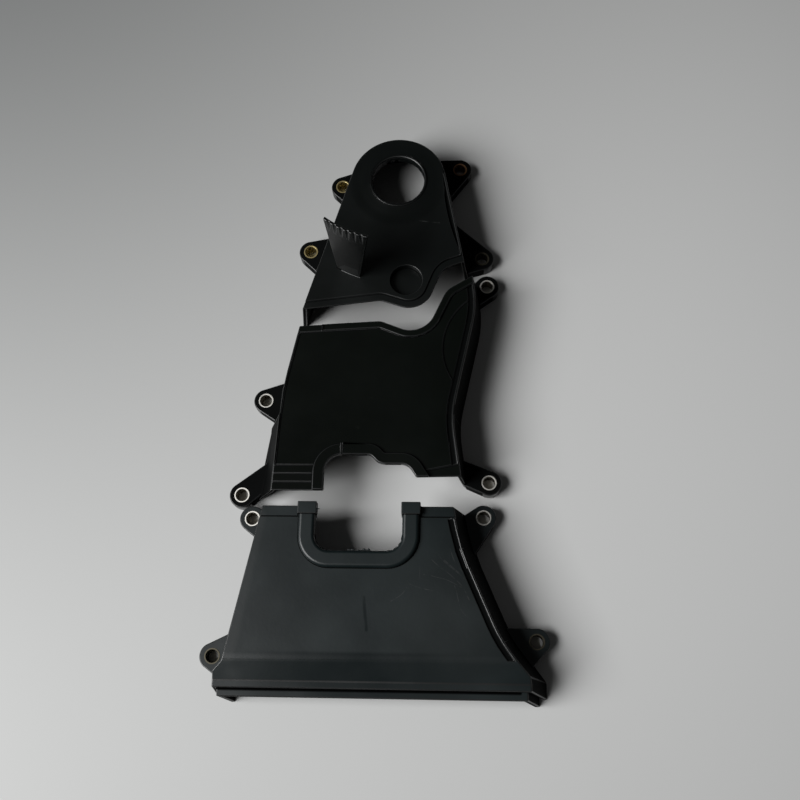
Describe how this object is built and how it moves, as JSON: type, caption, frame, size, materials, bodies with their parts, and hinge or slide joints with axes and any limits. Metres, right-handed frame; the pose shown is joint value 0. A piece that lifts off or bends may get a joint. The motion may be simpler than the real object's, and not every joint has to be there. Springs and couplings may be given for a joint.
{
  "type": "timing cover",
  "caption": "Moulded black timing belt cover in separate lapping sections, with a round hub opening, an upright fluted timing scale and metal-sleeved bolt lugs.",
  "frame": {"origin": "centre of the footprint of the sections as they lie, on the plane of their back rims", "axes": "+X across the sections, +Y from the wide end towards the hub opening, +Z out of the faces"},
  "size_m": [0.2132, 0.3746, 0.084],
  "materials": {
    "cover_plastic": "satin black, glass-filled nylon",
    "golden_zinc": "yellow-passivated zinc on steel",
    "pale_zinc": "dull zinc on steel"
  },
  "bodies": {
    "root": {"upper_cover": "cover_plastic", "middle_cover": "cover_plastic", "lower_cover": "cover_plastic", "upper_sleeve_head_left": "golden_zinc", "upper_sleeve_head_right": "golden_zinc", "upper_sleeve_left": "golden_zinc", "upper_sleeve_right": "golden_zinc", "middle_sleeve_left": "pale_zinc", "middle_sleeve_low_left": "pale_zinc", "middle_sleeve_high_right": "pale_zinc", "middle_sleeve_low_right": "pale_zinc", "lower_sleeve_high_left": "pale_zinc", "lower_sleeve_high_right": "pale_zinc", "lower_sleeve_low_left": "pale_zinc", "lower_sleeve_low_right": "pale_zinc"}
  },
  "joints": []
}
